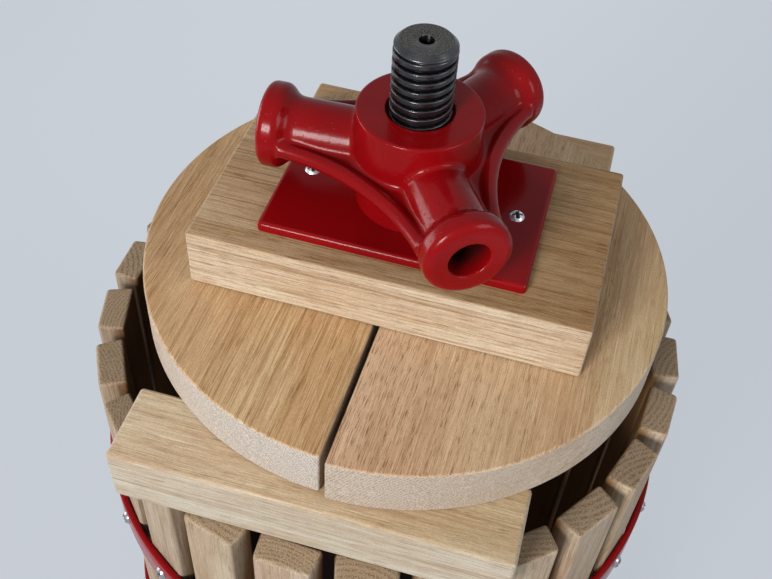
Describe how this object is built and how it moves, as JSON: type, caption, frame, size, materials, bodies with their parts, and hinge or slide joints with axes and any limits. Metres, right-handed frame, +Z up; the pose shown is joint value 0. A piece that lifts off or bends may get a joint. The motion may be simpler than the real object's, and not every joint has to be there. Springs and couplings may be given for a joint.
{
  "type": "fruit press",
  "caption": "Free-standing basket press: oak stave basket in a steel tray on legs, with loose oak pressing boards under a cast lever nut on a fixed screw spindle.",
  "frame": {"origin": "on the spindle's axis at floor level, in the middle of the legs' and the spout's reach", "axes": "+Z up along the spindle, -Y towards the spout and the front bar, +X to the right seen from the spout"},
  "size_m": [0.4564, 0.5039, 0.7092],
  "materials": {
    "oak": "planed and oiled oak",
    "red_paint": "glossy deep red enamel",
    "spindle_steel": "oiled turned steel",
    "bright_screws": "bright plated",
    "seal_rubber": "matt black"
  },
  "bodies": {
    "frame": {"spindle": "spindle_steel", "tray": "red_paint", "tray_wall": "red_paint", "spout": "red_paint", "base_star": "red_paint", "left_leg": "red_paint", "right_leg": "red_paint", "rear_leg": "red_paint", "leg_bolts": "bright_screws", "leg_nuts": "bright_screws", "spindle_seal": "seal_rubber", "upper_clamp_nut": "bright_screws", "spindle_washer": "bright_screws", "lower_clamp_nut": "bright_screws"},
    "basket": {"stave_01": "oak", "stave_02": "oak", "stave_03": "oak", "stave_04": "oak", "stave_05": "oak", "stave_06": "oak", "stave_07": "oak", "stave_08": "oak", "stave_09": "oak", "stave_10": "oak", "stave_11": "oak", "stave_12": "oak", "stave_13": "oak", "stave_14": "oak", "stave_15": "oak", "stave_16": "oak", "stave_17": "oak", "stave_18": "oak", "stave_19": "oak", "stave_20": "oak", "stave_21": "oak", "stave_22": "oak", "stave_23": "oak", "stave_24": "oak", "stave_25": "oak", "upper_hoop": "red_paint", "lower_hoop": "red_paint", "upper_hoop_screws": "bright_screws", "lower_hoop_screws": "bright_screws"},
    "front_bar": {"front_bar": "oak"},
    "rear_bar": {"rear_bar": "oak"},
    "left_board": {"left_board": "oak"},
    "right_board": {"right_board": "oak"},
    "press_head": {"press_block": "oak", "wear_plate": "red_paint", "plate_screws": "bright_screws"},
    "nut": {"press_nut": "red_paint"}
  },
  "joints": [
    {"name": "basket_turn", "type": "hinge", "parent": "frame", "child": "basket", "pos_m": [-0.0074, 0.005, 0.15], "axis": [0, 0, 1], "continuous": true},
    {"name": "front_bar_pull", "type": "slide", "parent": "frame", "child": "front_bar", "axis": [0, -1, 0], "range_m": [0, 0.12]},
    {"name": "rear_bar_pull", "type": "slide", "parent": "frame", "child": "rear_bar", "axis": [0, 1, 0], "range_m": [0, 0.12]},
    {"name": "left_board_pull", "type": "slide", "parent": "frame", "child": "left_board", "axis": [-1, 0, 0], "range_m": [0, 0.16]},
    {"name": "right_board_pull", "type": "slide", "parent": "frame", "child": "right_board", "axis": [1, 0, 0], "range_m": [0, 0.16]},
    {"name": "head_lift", "type": "slide", "parent": "frame", "child": "press_head", "axis": [0, 0, 1], "range_m": [0, 0.0351]},
    {"name": "nut_turn", "type": "hinge", "parent": "press_head", "child": "nut", "pos_m": [0, 0, 0.6452], "axis": [0, 0, 1], "range_deg": [0, 2520]}
  ],
  "couplings": [
    {"joint": "head_lift", "follows": "nut_turn", "m_per_rad": 0.00079577}
  ]
}
